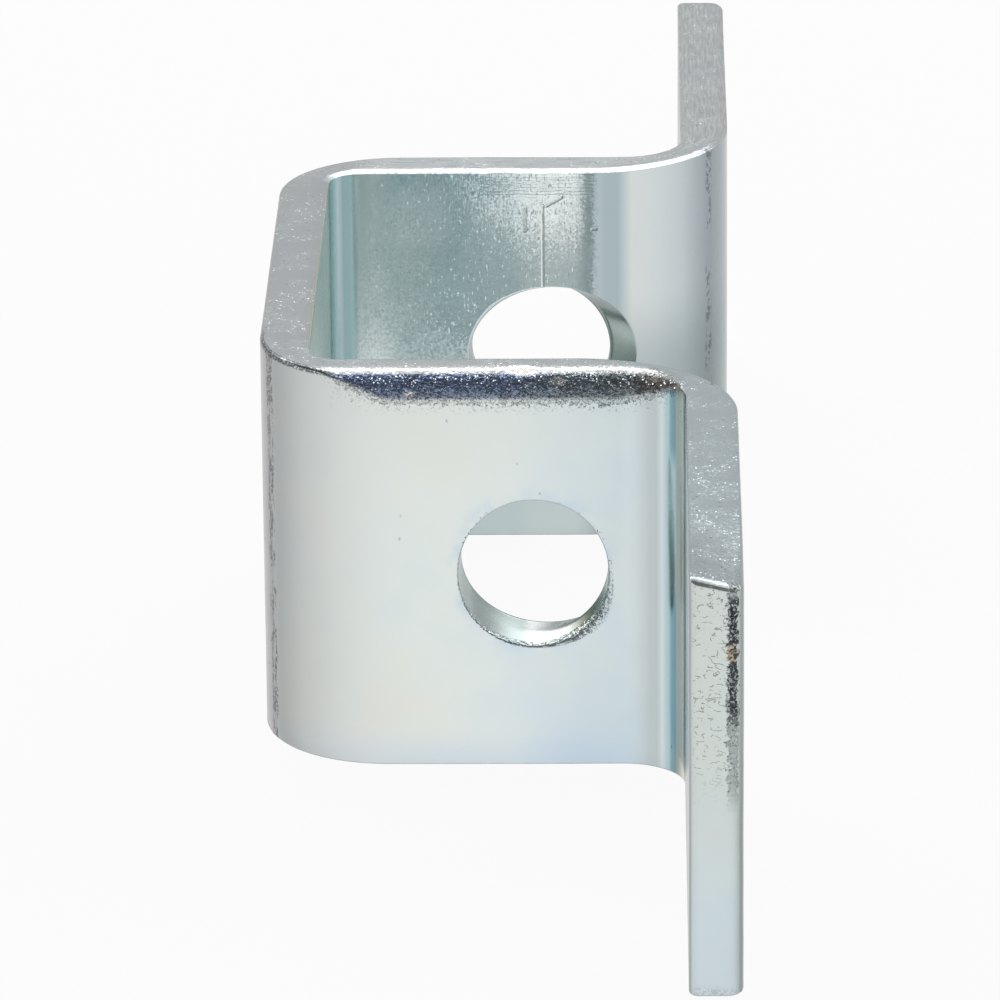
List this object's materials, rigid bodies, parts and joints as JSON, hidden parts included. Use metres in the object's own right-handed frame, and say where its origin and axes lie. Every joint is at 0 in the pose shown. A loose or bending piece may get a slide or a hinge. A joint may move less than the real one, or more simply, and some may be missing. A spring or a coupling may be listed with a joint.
{
  "type": "u bracket",
  "caption": "Flat steel bar folded into a U with flanges turned outwards, with a pin hole through both legs and a bolt hole in each flange.",
  "frame": {"origin": "the middle of the footprint, on the surface that the bracket stands on", "axes": "+Z across the width of the bar, up as it stands; +X from the web to the flanges' mounting plane; Y from flange end to flange end"},
  "size_m": [0.046, 0.184, 0.04],
  "materials": {
    "zinc_plate": "bright zinc plate with a clear blue passivate, over sheared and tumbled steel"
  },
  "bodies": {
    "root": {"bracket": "zinc_plate"}
  },
  "joints": []
}
